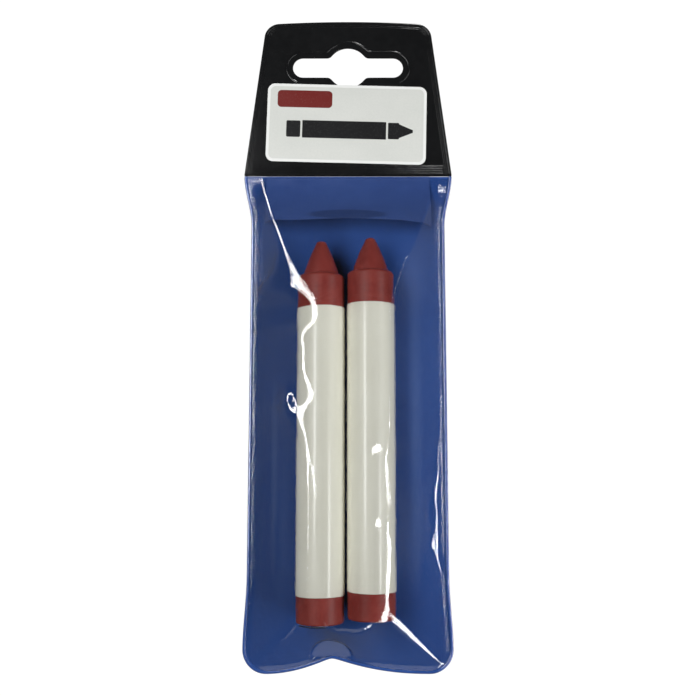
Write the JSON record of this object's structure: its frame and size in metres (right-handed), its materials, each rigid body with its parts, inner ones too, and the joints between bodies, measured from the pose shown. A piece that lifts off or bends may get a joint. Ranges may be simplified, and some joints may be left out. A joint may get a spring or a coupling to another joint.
{
  "type": "wax marking crayons in a hanging wallet",
  "caption": "Paper-wrapped wax marking crayons side by side in a clear-fronted welded film wallet, with a blue back, a tuck flap and a black header with a hanging slot.",
  "frame": {"origin": "under the middle of the whole wallet, on the plane of its flat back", "axes": "+X across the wallet to the right as it hangs, +Y from the pouch towards the header, +Z out of the clear front"},
  "size_m": [0.0556, 0.172, 0.0137],
  "materials": {
    "header_black": "black embossed PVC film",
    "film_blue": "opaque blue embossed PVC film",
    "film_clear": "clear embossed PVC film",
    "label_paper": "plain coated label paper",
    "sleeve_paper": "glossy white wrapping paper",
    "wax_red": "dark red marking wax"
  },
  "bodies": {
    "pouch": {"back_panel": "film_blue", "front_panel": "film_clear"},
    "header": {"header_front": "header_black", "header_back": "header_black", "label": "label_paper"},
    "flap": {"tuck_flap": "film_blue"},
    "crayon_left": {"left_wax_stick": "wax_red", "left_paper_sleeve": "sleeve_paper"},
    "crayon_right": {"right_wax_stick": "wax_red", "right_paper_sleeve": "sleeve_paper"}
  },
  "joints": [
    {"name": "crayon_left_slide", "type": "slide", "parent": "pouch", "child": "crayon_left", "axis": [0, 1, 0], "range_m": [0, 0.162], "deforming": ["front_panel", "tuck_flap"]},
    {"name": "crayon_right_slide", "type": "slide", "parent": "pouch", "child": "crayon_right", "axis": [0, 1, 0], "range_m": [0, 0.162], "deforming": ["front_panel", "tuck_flap"]},
    {"name": "flap_hinge", "type": "hinge", "parent": "pouch", "child": "flap", "pos_m": [0, 0.042, 0.00055], "axis": [-1, 0, 0], "range_deg": [0, 80], "deforming": ["front_panel"]},
    {"name": "header_fold", "type": "hinge", "parent": "pouch", "child": "header", "pos_m": [0, 0.0426, 0.00025], "axis": [1, 0, 0], "range_deg": [0, 60]}
  ]
}
